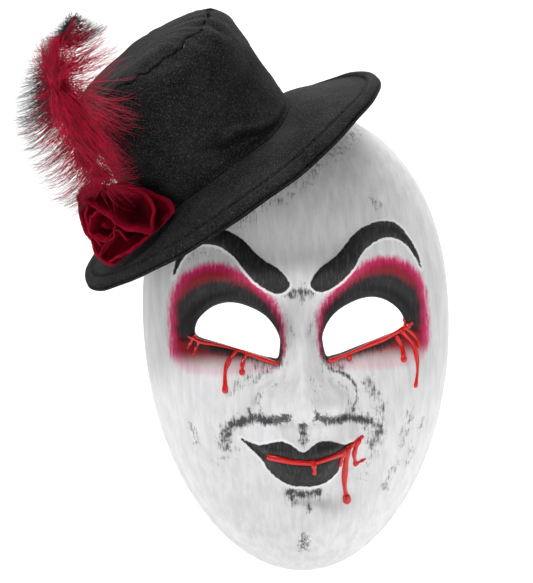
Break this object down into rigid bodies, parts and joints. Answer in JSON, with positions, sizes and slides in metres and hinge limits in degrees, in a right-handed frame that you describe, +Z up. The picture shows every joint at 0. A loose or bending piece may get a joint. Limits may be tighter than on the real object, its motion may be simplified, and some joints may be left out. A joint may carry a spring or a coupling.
{
  "type": "venetian masquerade mask",
  "caption": "Rigid full-face costume mask with two eye openings, a tilted felt mini top hat with a fabric rose and feather plume, and an elastic head strap.",
  "frame": {"origin": "middle of the shell's rim plane, where the wearer's face goes in, about halfway up the face", "axes": "+Z up the face, +Y out of the back of the mask towards the wearer, the painted face looks along -Y, +X to the viewer's right"},
  "size_m": [0.2366, 0.1662, 0.3106],
  "materials": {
    "painted_plastic": "satin white hand-painted coat",
    "red_gel": "glossy raised gel paint",
    "black_felt": "pressed wool felt with a flecked nap",
    "foam": "thin closed-cell foam",
    "black_thread": "twisted thread",
    "buckram": "stiff card",
    "hot_melt": "cloudy hot-melt glue",
    "black_clip": "moulded",
    "rose_fabric": "dark crimson velvet",
    "black_feather": "soft barbs",
    "crimson_feather": "dyed barbs",
    "elastic": "woven elastic webbing",
    "pin_metal": "plated",
    "tab_plastic": "moulded"
  },
  "bodies": {
    "mask": {"mask_shell": "painted_plastic", "gel_left_eye": "red_gel", "gel_right_eye": "red_gel", "gel_mouth": "red_gel", "brim_top_felt": "black_felt", "brim_under_felt": "black_felt", "crown_side_felt": "black_felt", "crown_tip_felt": "black_felt", "brim_foam_core": "foam", "brim_topstitch": "black_thread", "crown_seam_thread": "black_thread", "crown_stiffener": "buckram", "tip_stiffener": "buckram", "hat_glue": "hot_melt", "plume_holder": "black_clip", "rose_base": "rose_fabric", "rose_bud": "rose_fabric", "strap_pin_left": "pin_metal", "strap_pin_right": "pin_metal", "strap_tab_left": "tab_plastic", "strap_tab_right": "tab_plastic", "rose_inner_petal_1": "rose_fabric", "rose_inner_petal_2": "rose_fabric", "rose_inner_petal_3": "rose_fabric", "rose_middle_petal_1": "rose_fabric", "rose_middle_petal_2": "rose_fabric", "rose_middle_petal_3": "rose_fabric", "rose_middle_petal_4": "rose_fabric", "rose_outer_petal_1": "rose_fabric", "rose_outer_petal_2": "rose_fabric", "rose_outer_petal_3": "rose_fabric", "rose_outer_petal_4": "rose_fabric", "rose_outer_petal_5": "rose_fabric"},
    "plume": {"black_feather_vane": "black_feather", "black_feather_quill": "black_feather", "crimson_feather_vane": "crimson_feather", "crimson_feather_quill": "crimson_feather", "plume_binding": "black_thread"},
    "strap": {"head_strap": "elastic"}
  },
  "joints": [
    {"name": "strap_hinge", "type": "hinge", "parent": "mask", "child": "strap", "pos_m": [0, -0.009, 0.014], "axis": [1, 0, 0], "range_deg": [-3, 100]},
    {"name": "plume_sway", "type": "hinge", "parent": "mask", "child": "plume", "pos_m": [-0.10889, -0.06228, 0.09614], "axis": [-0.3613, -0.7912, -0.4934], "range_deg": [-8, 8], "stiffness_Nm_per_rad": 0.3}
  ]
}
